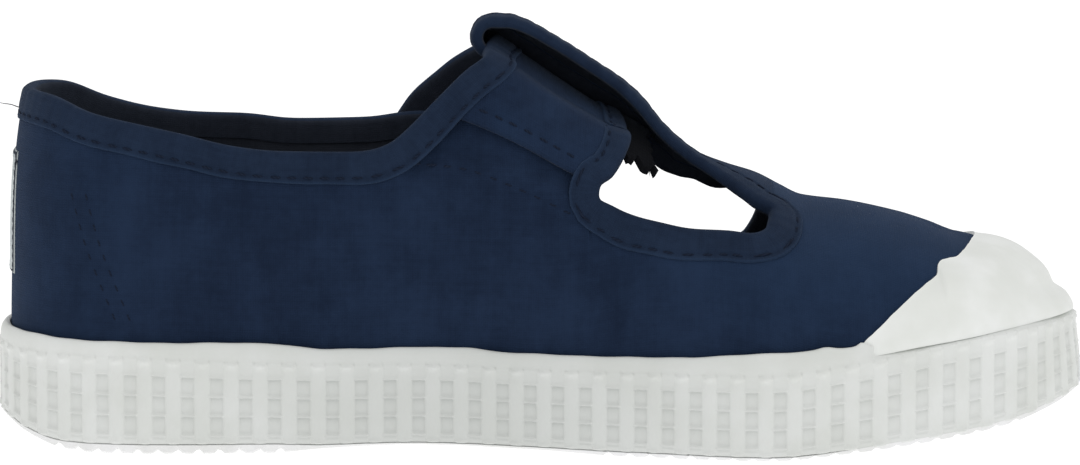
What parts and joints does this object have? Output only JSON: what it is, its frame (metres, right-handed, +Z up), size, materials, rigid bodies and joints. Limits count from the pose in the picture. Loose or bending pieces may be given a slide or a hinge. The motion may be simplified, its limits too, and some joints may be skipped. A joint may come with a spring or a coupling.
{
  "type": "canvas t-bar shoe",
  "caption": "Child's low canvas T-bar shoe, left foot, with an open collar, side cut-outs, an instep strap through a folded loop, a rubber toe cap and a ribbed rubber sidewall.",
  "frame": {"origin": "middle of the shoe's bounding box, on the floor under the sole", "axes": "+X towards the toe, +Y to the outer side of the foot, +Z up"},
  "size_m": [0.178, 0.0672, 0.0692],
  "materials": {
    "outsole_rubber": "matt off-white rubber",
    "white_rubber": "satin white rubber",
    "insole_cloth": "matt woven cloth",
    "navy_canvas": "matt cotton canvas",
    "strap_canvas": "matt cotton canvas",
    "cap_rubber": "satin white rubber",
    "label_cloth": "matt woven tape"
  },
  "bodies": {
    "root": {"outsole": "outsole_rubber", "foxing": "white_rubber", "insole": "insole_cloth", "upper": "navy_canvas", "instep_strap": "strap_canvas", "toe_cap": "cap_rubber", "heel_label": "label_cloth"}
  },
  "joints": []
}
